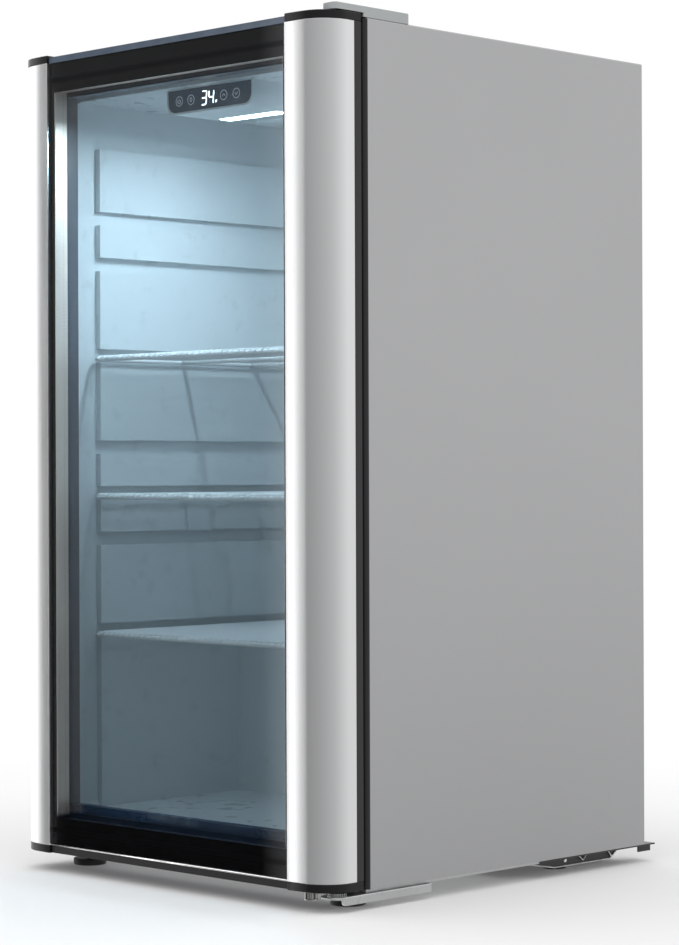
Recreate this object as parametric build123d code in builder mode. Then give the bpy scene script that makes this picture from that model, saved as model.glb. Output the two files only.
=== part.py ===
from build123d import *
import math
import os

# Overall size of the cooler. X is to the right seen from the front, Y to the back, Z up, floor at Z = 0.
width = 445.0
depth = 480.0
height = 829.0
half_width = width / 2
door_front = -depth / 2
rear_limit = depth / 2

# Cabinet, a folded steel wrapper around foam and a vacuum-formed liner
cabinet_front = -188.0
cabinet_rear = 221.5
cabinet_bottom = 18.5
cabinet_top = 819.0
sheet = 0.8
corner_radius = 5.5
flange_opening_half = 204.0
flange_opening_low = 33.0
flange_opening_high = 803.5
hem_inner = 217.0
tray_top = flange_opening_low
tray_sheet = 1.0
tray_bottom = 15.1
inner_half = half_width - sheet
inner_front = cabinet_front + sheet
inner_rear = cabinet_rear - sheet
inner_top = cabinet_top - sheet

# Compressor bay at the lower rear
bay_front = 62.0
bay_top = 190.0

# Liner: mouth, side ribs with shelf grooves, and the step over the compressor
liner_wall = 2.0
mouth_half = 183.0
liner_low = 59.0
liner_high = 780.0
liner_rear = 185.0
rib_half = 176.0
rib_start = -163.0
rib_top = 734.0
groove_height = 14.0
groove_rear = 180.0
seat_levels = [233.0, 327.0, 374.0, 421.0, 515.0, 609.0, 656.0]
step_top = 226.0
step_front = 30.0
liner_flange_half = flange_opening_half - 0.5
liner_flange_low = flange_opening_low + 0.5
liner_flange_high = flange_opening_high - 0.5

# Wire shelves
shelf_seats = {"upper_shelf": 515.0, "middle_shelf": 374.0, "lower_shelf": 233.0}
seat_gap = 0.3
shelf_thickness = 6.6
shelf_rod = 2.5
shelf_wire = 1.3
shelf_half = 177.8
shelf_front = -172.0
shelf_rear = 150.0
shelf_wire_count = 33

# Door: two bullnose profiles, end caps, a double-glazed pane and a plastic inner frame
profile_low = 27.0
profile_high = 814.0
profile_radius = 27.0
profile_inner = 171.5
profile_rear = -200.0
profile_wall = 1.6
cap_low = 18.9
cap_high = 822.0
door_rear = -191.0
glass_half = 179.0
glass_low = 27.4
glass_high = 813.4
outer_glass_front = -237.5
pane = 4.0
spacer_depth = 16.0
spacer_half = 164.5
spacer_low = 53.5
spacer_high = 785.5
spacer_width = 8.0
inner_glass_half = 176.0
inner_glass_low = 40.0
inner_glass_high = 799.0
frame_opening_half = 167.0
frame_opening_low = 59.0
frame_opening_high = 781.0
flange_half = 177.0
flange_low = 54.0
flange_high = 786.0
neck_half = 181.0
neck_low = 29.0
neck_high = 811.0
spacer_front = outer_glass_front + pane
spacer_rear = spacer_front + spacer_depth
inner_glass_rear = spacer_rear + pane
rail_low = 19.4
rail_high = 820.0
plug_gap = 0.15
plug_length = 12.0

# Door gasket
gasket_inner_half = 184.0
gasket_outer_half = 204.0
gasket_inner_low = 43.0
gasket_inner_high = 794.0
gasket_width = gasket_outer_half - gasket_inner_half
gasket_rear = -188.3
dart_width = 4.0
dart_depth = 4.5
magnet_width = 9.0
magnet_depth = 1.6

# Hinge axis and its parts
hinge_x = 213.0
hinge_y = -217.0
pin_radius = 4.0
running_gap = 0.05
bush_radius = 5.6
bush_length = 14.0
bracket_thickness = 2.5
bracket_left = 176.0
bracket_rear = -100.0
bracket_lip_front = -218.0
bracket_lip_round = 4.0
bracket_screw_x = 206.0
bracket_screws = (-150.0, -130.0, -110.0)
hinge_screw_x = 204.0
hinge_screws = (-142.0, -167.0)
screw_radius = 2.5
screw_gap = 0.1
screw_head_radius = 4.5
screw_head_height = 2.6
bracket_low = 7.0
tongue_left = 197.0
tongue_front = -227.0
tongue_start = -190.0
washer_thickness = 1.7
hinge_cover_front = -224.5
hinge_cover_rear = -124.3
hinge_cover_low = 822.8
hinge_cover_left = 182.0
hinge_cover_nose = 204.0
cover_wall = 1.5
arm_low = 823.6
arm_thickness = 2.5
arm_left = 207.0
arm_right = 218.5
arm_foot = -184.5
plate_rear = -128.0
stop_x = 182.5
stop_y = -220.0
stop_radius = 6.3
stop_low = 9.0

# Feet
foot_x = 186.0
foot_y = -175.0
foot_radius = 16.75
foot_height = 6.5
stud_radius = 4.0
stud_top = 34.0
stud_gap = 0.3
rear_foot_x = 178.0
rear_foot_y = 131.0

# Control box on the liner ceiling
control_half = 62.0
control_low = 756.0
control_front = -172.0
control_rear = -100.0
control_radius = 12.0

# Evaporator cover and fan on the rear wall of the liner
duct_half = 110.0
duct_low = 470.0
duct_high = 750.0
duct_front = 160.0
fan_z = 665.0
fan_radius = 38.0
hub_radius = 13.0
fan_front = 163.5
fan_rear = 172.0
blade_count = 5

# Compressor
compressor_x = -70.0
compressor_y = 156.0
compressor_radius = 62.0
pan_floor = 4.5
pan_sheet = 1.5
pan_half = 192.0
mount_plate_low = 16.5
mount_plate_thickness = 3.0
mount_x = 58.0
mount_y = 30.0
port_x = 34.0
port_y = compressor_y - 40
port_top = 147.0

# Pan under the compressor, with a sloping front and level wings out to the cabinet walls
pan_ramp_front = 40.0
pan_flat_front = 114.0
pan_flat_rear = 202.0
pan_bottom = pan_floor - pan_sheet
pan_deep_front = bay_front + 1
wing_low = cabinet_bottom - pan_sheet

# Refrigerant tubes and the condenser coils behind the side walls
suction_radius = 3.0
discharge_radius = 2.4
coil_radius = 2.3
pipe_bend = 10.0
pipe_level = 172.0
riser_x = 60.0
riser_y = 208.0
riser_top = 560.0
wall_pipe_x = inner_half - 8
wall_pipe_y = 150.0
leg_count = 7
leg_low = 205.0
leg_high = 748.0
leg_front = -140.0
leg_pitch = 54.0
leg_bend = 25.0


def save(piece, label):
    """Name a finished piece and write it to its own file."""
    piece.part.label = label
    export_step(piece.part, f"parts/{label}.step")
    print(label, len(piece.part.solids()), round(piece.part.volume))


def block(x_low, x_high, y_low, y_high, z_low, z_high, mode=Mode.ADD):
    """Add a rectangular block between two corners to the part being built."""
    middle = ((x_low + x_high) / 2, (y_low + y_high) / 2, (z_low + z_high) / 2)
    with Locations(middle):
        return Box(x_high - x_low, y_high - y_low, z_high - z_low, mode=mode)


def ring(half_out, low_out, high_out, half_in, low_in, high_in, front, rear, mode=Mode.ADD):
    """Add an upright rectangular picture frame between two Y planes."""
    with BuildSketch(Plane.XZ.offset(-rear)) as outline:
        with Locations((0, (low_out + high_out) / 2)):
            Rectangle(2 * half_out, high_out - low_out)
        with Locations((0, (low_in + high_in) / 2)):
            Rectangle(2 * half_in, high_in - low_in, mode=Mode.SUBTRACT)
    extrude(outline.sketch, amount=rear - front, mode=mode)


os.makedirs("parts", exist_ok=True)


# ---------------------------------------------------------------- cabinet shell

with BuildPart() as outer_shell:
    block(-half_width, half_width, cabinet_front, cabinet_rear, cabinet_bottom, cabinet_top)
    upright = outer_shell.edges().filter_by(Axis.Z).group_by(Axis.Y)[0]
    fillet(upright, corner_radius)
    fillet(outer_shell.edges().filter_by(Axis.Y).group_by(Axis.Z)[-1], 2)
    offset(amount=-sheet, openings=outer_shell.faces().sort_by(Axis.Y)[-1])
    block(-flange_opening_half, flange_opening_half, cabinet_front - 1, cabinet_front + 5,
          flange_opening_low, flange_opening_high, mode=Mode.SUBTRACT)
    block(-hem_inner, hem_inner, cabinet_front + 5, cabinet_rear + 1,
          cabinet_bottom - 1, cabinet_bottom + 5, mode=Mode.SUBTRACT)
save(outer_shell, "outer_shell")

with BuildPart() as bottom_plate:
    block(-hem_inner, hem_inner, cabinet_front + 5, bay_front, tray_bottom, tray_top)
    block(-hem_inner + tray_sheet, hem_inner - tray_sheet, cabinet_front + 5 + tray_sheet, bay_front + 1,
          tray_bottom + tray_sheet, tray_top + 1, mode=Mode.SUBTRACT)
    with Locations((-foot_x, foot_y, tray_bottom), (foot_x, foot_y, tray_bottom)):
        Cylinder(stud_radius + stud_gap, 10, mode=Mode.SUBTRACT)
save(bottom_plate, "bottom_plate")

with BuildPart() as compressor_bay_panel:
    block(-inner_half, inner_half, bay_front, inner_rear, bay_top, bay_top + sheet)
    block(-hem_inner + tray_sheet, hem_inner - tray_sheet, bay_front, bay_front + sheet,
          tray_bottom + tray_sheet, bay_top)
    with Locations((riser_x, riser_y, bay_top)):
        Cylinder(6, 10, mode=Mode.SUBTRACT)
    with Locations((wall_pipe_x, wall_pipe_y, bay_top), (-wall_pipe_x, wall_pipe_y, bay_top)):
        Cylinder(4, 10, mode=Mode.SUBTRACT)
save(compressor_bay_panel, "compressor_bay_panel")

with BuildPart() as back_panel:
    block(-inner_half, inner_half, inner_rear, cabinet_rear, bay_top, inner_top)
    with Locations((-150, inner_rear, 208)):
        Cylinder(7, 10, rotation=(90, 0, 0), mode=Mode.SUBTRACT)
    with BuildSketch(Plane.XZ.offset(-cabinet_rear)):
        with GridLocations(0, 150, 1, 4):
            with Locations((0, 505)):
                RectangleRounded(340, 60, 12)
    extrude(amount=-1.2)
    fillet(back_panel.edges().filter_by(Axis.Y).group_by(Axis.Z)[-1], 2)
save(back_panel, "back_panel")


# ---------------------------------------------------------------- liner and foam

def cavity(wall):
    """The room inside the liner, grown outward by a wall thickness."""
    with BuildPart() as room:
        with BuildSketch(Plane.XZ.offset(-rib_start - wall)):
            with Locations((0, (liner_low + liner_high) / 2)):
                RectangleRounded(2 * (mouth_half + wall), liner_high - liner_low + 2 * wall, 8 + wall)
        extrude(amount=rib_start + wall - cabinet_front + 1)
        block(-rib_half - wall, rib_half + wall, rib_start - 1, liner_rear + wall,
              liner_low - wall, liner_high + wall)
        block(-mouth_half - wall, mouth_half + wall, rib_start - 1, liner_rear + wall,
              rib_top - wall, liner_high + wall)
        for seat in seat_levels:
            block(-mouth_half - wall, mouth_half + wall, rib_start - 1, groove_rear + wall,
                  seat - wall, seat + groove_height + wall)
        block(-300, 300, step_front + wall, 300, 0, step_top - wall, mode=Mode.SUBTRACT)
    return room.part


liner_inside = cavity(0)
liner_outside = cavity(liner_wall)

with BuildPart() as liner_solid:
    add(liner_outside)
    block(-300, 300, cabinet_front - 10, cabinet_front, 0, 900, mode=Mode.SUBTRACT)
    block(-liner_flange_half, liner_flange_half, cabinet_front, cabinet_front + liner_wall,
          liner_flange_low, liner_flange_high)

with BuildPart() as inner_liner:
    add(liner_solid.part)
    add(liner_inside, mode=Mode.SUBTRACT)
    with Locations((riser_x, liner_rear, riser_top)):
        Cylinder(5, 12, rotation=(90, 0, 0), mode=Mode.SUBTRACT)
    with Locations((0, -130, liner_high)):
        Cylinder(5, 12, mode=Mode.SUBTRACT)
save(inner_liner, "inner_liner")

with BuildPart() as foam_insulation:
    block(-inner_half, inner_half, inner_front, inner_rear, tray_top, inner_top)
    fillet(foam_insulation.edges().filter_by(Axis.Z).group_by(Axis.Y)[0], corner_radius)
    fillet(foam_insulation.edges().filter_by(Axis.Y).group_by(Axis.Z)[-1], 2)
    block(-hem_inner + tray_sheet, hem_inner - tray_sheet, cabinet_front + 5 + tray_sheet, bay_front,
          tray_bottom + tray_sheet, tray_top)
    add(liner_solid.part, mode=Mode.SUBTRACT)
    block(-300, 300, bay_front, 300, 0, bay_top + sheet, mode=Mode.SUBTRACT)
    for side in (-1, 1):
        outer = side * inner_half
        inner = side * (inner_half - 5.2)
        block(min(outer, inner), max(outer, inner), -152, 192, bay_top + sheet, 762, mode=Mode.SUBTRACT)
        with Locations((side * foot_x, foot_y, tray_bottom)):
            Cylinder(11, 50, mode=Mode.SUBTRACT)
    block(riser_x - 6, riser_x + 6, riser_y - 6, riser_y + 6, bay_top, riser_top + 10, mode=Mode.SUBTRACT)
    with Locations((riser_x, 200, riser_top)):
        Cylinder(5, 34, rotation=(90, 0, 0), mode=Mode.SUBTRACT)
    with Locations((-150, inner_rear, 208)):
        Cylinder(9, 16, rotation=(90, 0, 0), mode=Mode.SUBTRACT)
save(foam_insulation, "foam_insulation")


# ---------------------------------------------------------------- refrigeration

with BuildPart() as compressor_base:
    with BuildSketch(Plane.YZ.offset(-pan_half)):
        with BuildLine():
            Polyline((pan_ramp_front, tray_bottom), (pan_deep_front, tray_bottom),
                     (pan_deep_front, cabinet_bottom), (cabinet_rear, cabinet_bottom),
                     (cabinet_rear, wing_low - 2), (pan_flat_rear, pan_bottom),
                     (pan_flat_front, pan_bottom), close=True)
        make_face()
    extrude(amount=2 * pan_half)
    with BuildSketch(Plane.YZ.offset(-pan_half + pan_sheet)):
        with BuildLine():
            Polyline((pan_deep_front + pan_sheet, tray_bottom - 1.6), (pan_deep_front + pan_sheet, 30),
                     (cabinet_rear - pan_sheet, 30), (cabinet_rear - pan_sheet, wing_low - 1.2),
                     (pan_flat_rear - 0.8, pan_floor), (pan_flat_front + 0.4, pan_floor), close=True)
        make_face()
    extrude(amount=2 * (pan_half - pan_sheet), mode=Mode.SUBTRACT)
    for side in (-1, 1):
        near, far = sorted((side * (pan_half - 1), side * (half_width - 0.5)))
        block(near, far, pan_deep_front, rear_limit, wing_low, cabinet_bottom)
        lip_near, lip_far = sorted((side * (half_width - 6.5), side * (half_width - 8)))
        block(lip_near, lip_far, cabinet_rear - 2, rear_limit, 10, cabinet_bottom)
    with Locations((-rear_foot_x, rear_foot_y, pan_floor), (rear_foot_x, rear_foot_y, pan_floor)):
        Cylinder(2.6, 10, mode=Mode.SUBTRACT)
save(compressor_base, "compressor_base")

mount_points = [(compressor_x + i * mount_x, compressor_y + j * mount_y) for i in (-1, 1) for j in (-1, 1)]
mount_plate_top = mount_plate_low + mount_plate_thickness

with BuildPart() as compressor:
    with BuildSketch(Plane.XZ.offset(-compressor_y)):
        with BuildLine():
            Line((compressor_x, mount_plate_low), (compressor_x + 44, mount_plate_low))
            Line((compressor_x + 44, mount_plate_low), (compressor_x + 58, 30))
            Line((compressor_x + 58, 30), (compressor_x + 60, 88))
            Line((compressor_x + 60, 88), (compressor_x + compressor_radius, 88))
            Line((compressor_x + compressor_radius, 88), (compressor_x + compressor_radius, 92))
            Line((compressor_x + compressor_radius, 92), (compressor_x + 58, 92))
            Line((compressor_x + 58, 92), (compressor_x + 54, 132))
            ThreePointArc((compressor_x + 54, 132), (compressor_x + 34, 153), (compressor_x, 160))
            Line((compressor_x, 160), (compressor_x, mount_plate_low))
        make_face()
    revolve(axis=Axis((compressor_x, compressor_y, 0), (0, 0, 1)))
    block(compressor_x - mount_x - 13, compressor_x + mount_x + 13, compressor_y - mount_y - 13,
          compressor_y + mount_y + 13, mount_plate_low, mount_plate_top)
    block(compressor_x + 40, compressor_x + 66, compressor_y - 18, compressor_y + 18, 56, 84)
    with Locations([(compressor_x + side * port_x, port_y, port_top - 37) for side in (-1, 1)]):
        Cylinder(5, 74)
    for x, y in mount_points:
        with Locations((x, y, mount_plate_low)):
            Cylinder(4.4, 12, mode=Mode.SUBTRACT)
save(compressor, "compressor")

with BuildPart() as compressor_grommets:
    for x, y in mount_points:
        with Locations((x, y, (pan_floor + mount_plate_low) / 2)):
            Cylinder(9.5, mount_plate_low - pan_floor)
            Cylinder(3.4, mount_plate_low - pan_floor, mode=Mode.SUBTRACT)
save(compressor_grommets, "compressor_grommets")

with BuildPart() as compressor_bolts:
    for x, y in mount_points:
        with Locations((x, y, (pan_floor + mount_plate_top) / 2)):
            Cylinder(3, mount_plate_top - pan_floor)
        with BuildSketch(Plane((x, y, mount_plate_top))):
            RegularPolygon(6.5, 6)
        extrude(amount=5)
save(compressor_bolts, "compressor_bolts")

with BuildPart() as start_relay_box:
    block(compressor_x + 66, compressor_x + 96, compressor_y - 22, compressor_y + 22, 50, 96)
    fillet(start_relay_box.edges().filter_by(Axis.X), 4)
    fillet(start_relay_box.faces().sort_by(Axis.X)[-1].edges(), 2)
save(start_relay_box, "start_relay_box")



def tube(points, bends, radius):
    """Sweep a round pipe along straight runs joined by bends."""
    start = Vector(*points[0])
    with BuildPart() as pipe:
        with BuildLine() as path:
            FilletPolyline(*points, radius=bends)
        with BuildSketch(Plane(start, z_dir=Vector(*points[1]) - start)):
            Circle(radius)
        sweep(path=path.line)
    return pipe


suction_x = compressor_x + port_x
suction_line = tube([(suction_x, port_y, port_top), (suction_x, port_y, pipe_level),
                     (riser_x, port_y, pipe_level), (riser_x, riser_y, pipe_level),
                     (riser_x, riser_y, riser_top), (riser_x, 181, riser_top)], pipe_bend, suction_radius)
save(suction_line, "suction_line")

discharge_x = compressor_x - port_x
discharge_line = tube([(discharge_x, port_y, port_top), (discharge_x, port_y, pipe_level),
                       (-wall_pipe_x, port_y, pipe_level), (-wall_pipe_x, wall_pipe_y, pipe_level),
                       (-wall_pipe_x, wall_pipe_y, bay_top)], pipe_bend, discharge_radius)
save(discharge_line, "discharge_line")

with BuildPart() as filter_drier:
    with BuildSketch(Plane.XZ.offset(-90)):
        with BuildLine():
            Polyline((120, 60), (122.4, 60), (122.4, 74), (129, 84), (129, 150), (122.4, 160),
                     (122.4, bay_top), (120, bay_top), close=True)
        make_face()
    revolve(axis=Axis((120, 90, 0), (0, 0, 1)))
save(filter_drier, "filter_drier")

for side, name in ((-1, "condenser_coil_left"), (1, "condenser_coil_right")):
    coil_x = side * (inner_half - 2.5)
    points = []
    for leg in range(leg_count):
        y = leg_front + leg * leg_pitch
        ends = [(coil_x, y, leg_low), (coil_x, y, leg_high)]
        points += ends if leg % 2 == 0 else ends[::-1]
    coil = tube(points, leg_bend, coil_radius)
    save(coil, name)

with BuildPart() as evaporator_plate:
    block(-95, 95, 176, 178, 485, 610)
    with BuildSketch(Plane.XZ.offset(-176)):
        with GridLocations(0, 24, 1, 5):
            with Locations((0, 547)):
                SlotOverall(170, 9)
    extrude(amount=1.6)
    with Locations([(x, 181.5, z) for x in (-88, 88) for z in (492, 603)]):
        Cylinder(3, 7, rotation=(90, 0, 0))
    block(riser_x - 6, riser_x + 6, 176, 181, riser_top - 6, riser_top + 6)
save(evaporator_plate, "evaporator_plate")

with BuildPart() as evaporator_cover:
    block(-duct_half, duct_half, duct_front, liner_rear, duct_low, duct_high)
    fillet(evaporator_cover.edges().filter_by(Axis.Y), 12)
    fillet(evaporator_cover.faces().sort_by(Axis.Y)[0].edges(), 4)
    offset(amount=-2, openings=evaporator_cover.faces().sort_by(Axis.Y)[-1])
    with BuildSketch(Plane.XZ.offset(-duct_front)):
        for level in range(-4, 5):
            reach = math.sqrt((fan_radius + 2) ** 2 - (level * 8) ** 2)
            with Locations((0, fan_z + level * 8)):
                SlotOverall(2 * reach, 4.5)
    extrude(amount=-3, mode=Mode.SUBTRACT)
    with BuildSketch(Plane.XZ.offset(-duct_front)):
        with GridLocations(14, 0, 13, 1):
            with Locations((0, duct_low + 26)):
                SlotOverall(26, 5, rotation=90)
    extrude(amount=-3, mode=Mode.SUBTRACT)
save(evaporator_cover, "evaporator_cover")

with BuildPart() as fan_motor:
    with Locations((0, (fan_rear + 1 + liner_rear) / 2, fan_z)):
        Cylinder(16, liner_rear - fan_rear - 1, rotation=(90, 0, 0))
    with Locations((0, (fan_front + 1 + liner_rear) / 2, fan_z)):
        Cylinder(1.5, liner_rear - fan_front - 1, rotation=(90, 0, 0))
save(fan_motor, "fan_motor")

with BuildPart() as fan_blade:
    with Locations((0, (fan_front + fan_rear) / 2, fan_z)):
        Cylinder(hub_radius, fan_rear - fan_front, rotation=(90, 0, 0))
    blade_length = fan_radius - hub_radius + 2
    blade_middle = hub_radius - 2 + blade_length / 2
    for blade in range(blade_count):
        turn = blade * 360 / blade_count
        x = blade_middle * math.cos(math.radians(turn))
        z = blade_middle * math.sin(math.radians(turn))
        with Locations(Location((x, (fan_front + fan_rear) / 2, fan_z + z), (0, -turn, 0))):
            with Locations(Rotation(22, 0, 0)):
                Box(blade_length, 1.2, 18)
    with Locations((0, (fan_front + fan_rear) / 2, fan_z)):
        Cylinder(1.5 + running_gap, fan_rear - fan_front + 2, rotation=(90, 0, 0), mode=Mode.SUBTRACT)
save(fan_blade, "fan_blade")

with BuildPart() as cord_gland:
    with Locations((-150, cabinet_rear - 1, 208)):
        Cylinder(6.8, 14, rotation=(90, 0, 0))
    with Locations((-150, cabinet_rear + 2, 208)):
        Cylinder(10, 4, rotation=(90, 0, 0))
        Cylinder(3.2, 40, rotation=(90, 0, 0), mode=Mode.SUBTRACT)
save(cord_gland, "cord_gland")


# ---------------------------------------------------------------- shelves

def wire_shelf(seat):
    """A welded wire shelf standing on a pair of grooves."""
    rod_z = seat + seat_gap + shelf_rod
    wire_z = seat + seat_gap + shelf_thickness - shelf_wire
    middle_y = (shelf_front + shelf_rear) / 2
    long = shelf_rear - shelf_front
    with BuildPart() as shelf:
        with Locations((-shelf_half, middle_y, rod_z), (shelf_half, middle_y, rod_z)):
            Cylinder(shelf_rod, long - 2 * shelf_rod, rotation=(90, 0, 0))
        with Locations([(0, y, rod_z) for y in (shelf_front + shelf_rod, -50, 50, shelf_rear - shelf_rod)]):
            Cylinder(shelf_rod, 2 * shelf_half + 4.4, rotation=(0, 90, 0))
        with Locations((0, middle_y, wire_z)):
            with GridLocations(2 * shelf_half / (shelf_wire_count + 1), 0, shelf_wire_count, 1):
                Cylinder(shelf_wire, long - shelf_wire, rotation=(90, 0, 0))
    return shelf


for name, seat in shelf_seats.items():
    save(wire_shelf(seat), name)


# ---------------------------------------------------------------- control box

def control_slab(front, rear, inset, mode=Mode.ADD):
    """Add a slab with the face outline of the control box, its lower corners rounded."""
    with BuildSketch(Plane.XZ.offset(-front)) as face:
        with Locations((0, (control_low + liner_high + inset) / 2)):
            Rectangle(2 * (control_half - inset), liner_high - control_low - inset)
        fillet(face.vertices().group_by(Axis.Y)[0], control_radius - inset)
    extrude(face.sketch, amount=front - rear, mode=mode)


with BuildPart() as control_housing:
    control_slab(control_front, control_rear, 0)
    control_slab(control_front, control_rear - 2, 2, Mode.SUBTRACT)
    block(-42, 42, control_rear - 20, control_rear - 4, control_low - 1, control_low + 3, mode=Mode.SUBTRACT)
save(control_housing, "control_housing")

with BuildPart() as control_panel:
    control_slab(control_front + 0.3, control_front + 2.3, 2.1)
save(control_panel, "control_panel")

with BuildPart() as control_board:
    block(-50, 50, control_front + 4, control_front + 5.6, control_low + 6, liner_high - 3)
    block(-13, 13, control_front + 2.3, control_front + 4, control_low + 5.5, control_low + 18.5)
save(control_board, "control_board")

with BuildPart() as led_lens:
    block(-41.8, 41.8, control_rear - 19.8, control_rear - 4.2, control_low, control_low + 2)
save(led_lens, "led_lens")

with BuildPart() as led_board:
    block(-40, 40, control_rear - 18, control_rear - 6, control_low + 8, control_low + 9.6)
    with Locations((0, control_rear - 12, control_low + 7.4)):
        with GridLocations(12, 0, 6, 1):
            Box(5, 5, 1.2)
save(led_board, "led_board")


# ---------------------------------------------------------------- door

def cap_outline(side):
    """Plan outline of the door edge: a bullnose with its straight side and rear."""
    near = side * profile_inner
    arc_x = side * (half_width - profile_radius)
    arc_y = door_front + profile_radius
    bend = profile_radius * math.sqrt(0.5)
    Polyline((arc_x, door_front), (near, door_front), (near, door_rear), (side * half_width, door_rear),
             (side * half_width, arc_y))
    ThreePointArc((side * half_width, arc_y), (arc_x + side * bend, arc_y - bend), (arc_x, door_front))


def profile_outline(side, wall):
    """Plan outline of the aluminium profile, drawn inward by a wall thickness."""
    near = side * (profile_inner + wall)
    far = side * (half_width - wall)
    arc_x = side * (half_width - profile_radius)
    arc_y = door_front + profile_radius
    radius = profile_radius - wall
    bend = radius * math.sqrt(0.5)
    front = door_front + wall
    inner_side = side * (glass_half + 2 + wall)
    rear = profile_rear - wall
    Polyline((arc_x, front), (near, front), (near, outer_glass_front), (inner_side, outer_glass_front),
             (inner_side, rear), (far, rear), (far, arc_y))
    ThreePointArc((far, arc_y), (arc_x + side * bend, arc_y - bend), (arc_x, front))


for side, name in ((-1, "left_profile"), (1, "right_profile")):
    with BuildPart() as profile:
        with BuildSketch(Plane.XY.offset(profile_low)):
            with BuildLine():
                profile_outline(side, 0)
            make_face()
            with BuildLine():
                profile_outline(side, profile_wall)
            make_face(mode=Mode.SUBTRACT)
        extrude(amount=profile_high - profile_low)
    save(profile, name)

hinge_caps = ("top_right_cap", "bottom_right_cap")
cap_places = {"top_left_cap": (-1, cap_high, profile_high), "top_right_cap": (1, cap_high, profile_high),
              "bottom_left_cap": (-1, cap_low, profile_low), "bottom_right_cap": (1, cap_low, profile_low)}

for name, (side, outer_z, inner_z) in cap_places.items():
    inward = -1 if outer_z > inner_z else 1
    with BuildPart() as cap:
        with BuildSketch(Plane.XY.offset(min(outer_z, inner_z))):
            with BuildLine():
                cap_outline(side)
            make_face()
        extrude(amount=abs(outer_z - inner_z))
        rim = cap.faces().sort_by(Axis.Z)[-1 if inward < 0 else 0]
        fillet(rim.edges().filter_by(GeomType.CIRCLE), 1.2)
        with BuildSketch(Plane.XY.offset(inner_z)):
            with BuildLine():
                profile_outline(side, profile_wall + plug_gap)
            make_face()
        extrude(amount=inward * plug_length)
        if name in hinge_caps:
            with Locations((hinge_x, hinge_y, (outer_z + inner_z) / 2)):
                Cylinder(bush_radius, 60, mode=Mode.SUBTRACT)
    save(cap, name)

rail_spans = {"top_rail": (glass_high + 0.4, rail_high), "bottom_rail": (rail_low, glass_low - 0.4)}

for name, (low, high) in rail_spans.items():
    with BuildPart() as rail:
        block(-profile_inner, profile_inner, outer_glass_front, profile_rear, low, high)
        hollow = (low - 1, high - 1.5) if name == "top_rail" else (low + 1.5, high + 1)
        block(-profile_inner - 1, profile_inner + 1, outer_glass_front + 1.5, profile_rear - 1.5, *hollow,
              mode=Mode.SUBTRACT)
    save(rail, name)

with BuildPart() as outer_glass:
    block(-glass_half, glass_half, outer_glass_front, spacer_front, glass_low, glass_high)
save(outer_glass, "outer_glass")

with BuildPart() as inner_glass:
    block(-inner_glass_half, inner_glass_half, spacer_rear, inner_glass_rear,
          inner_glass_low, inner_glass_high)
save(inner_glass, "inner_glass")

with BuildPart() as spacer_frame:
    ring(spacer_half + spacer_width, spacer_low - spacer_width, spacer_high + spacer_width,
         spacer_half, spacer_low, spacer_high, spacer_front, spacer_rear)
save(spacer_frame, "spacer_frame")

with BuildPart() as glass_edge_seal:
    ring(inner_glass_half, inner_glass_low, inner_glass_high, spacer_half + spacer_width,
         spacer_low - spacer_width, spacer_high + spacer_width, spacer_front, spacer_rear)
save(glass_edge_seal, "glass_edge_seal")

gasket_mid_half = gasket_inner_half + gasket_width / 2
gasket_mid_low = gasket_inner_low - gasket_width / 2
gasket_mid_high = gasket_inner_high + gasket_width / 2


def gasket_ring(across, front, rear, mode=Mode.ADD):
    """A picture frame of the given width along the middle line of the gasket."""
    reach = across / 2
    ring(gasket_mid_half + reach, gasket_mid_low - reach, gasket_mid_high + reach,
         gasket_mid_half - reach, gasket_mid_low + reach, gasket_mid_high - reach, front, rear, mode)


with BuildPart() as door_inner_frame:
    ring(half_width, profile_low, profile_high, flange_half, flange_low, flange_high,
         profile_rear, door_rear)
    block(-profile_inner, profile_inner, profile_rear, door_rear, rail_low, profile_low)
    block(-profile_inner, profile_inner, profile_rear, door_rear, profile_high, rail_high)
    ring(neck_half, neck_low, neck_high, frame_opening_half, frame_opening_low, frame_opening_high,
         inner_glass_rear, profile_rear)
    gasket_ring(dart_width + 0.4, door_rear - dart_depth - 0.3, door_rear, Mode.SUBTRACT)
save(door_inner_frame, "door_inner_frame")

with BuildPart() as door_gasket:
    gasket_ring(gasket_width, door_rear, gasket_rear)
    gasket_ring(dart_width, door_rear - dart_depth, door_rear)
    for side in (-1, 1):
        middle = side * (gasket_mid_half + 4)
        block(middle - 2.4, middle + 2.4, door_rear, door_rear + magnet_depth, 60, 777, mode=Mode.SUBTRACT)
save(door_gasket, "door_gasket")

with BuildPart() as gasket_magnets:
    for side in (-1, 1):
        middle = side * (gasket_mid_half + 4)
        block(middle - 2.2, middle + 2.2, door_rear + 0.1, door_rear + magnet_depth, 62, 775)
save(gasket_magnets, "gasket_magnets")

for name, outer_z, inward in (("upper_hinge_bush", cap_high, -1), ("lower_hinge_bush", cap_low, 1)):
    with BuildPart() as bush:
        with Locations((hinge_x, hinge_y, outer_z + inward * bush_length / 2)):
            Cylinder(bush_radius, bush_length)
            Cylinder(pin_radius + running_gap, bush_length + 1, mode=Mode.SUBTRACT)
    save(bush, name)

with BuildPart() as door_stop_stud:
    with BuildSketch(Plane.XY.offset(stop_low)):
        with Locations((stop_x, stop_y)):
            Circle(stop_radius)
            with PolarLocations(stop_radius, 12):
                Circle(0.8, mode=Mode.SUBTRACT)
    extrude(amount=cap_low - stop_low)
save(door_stop_stud, "door_stop_stud")


# ---------------------------------------------------------------- hinges

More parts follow.
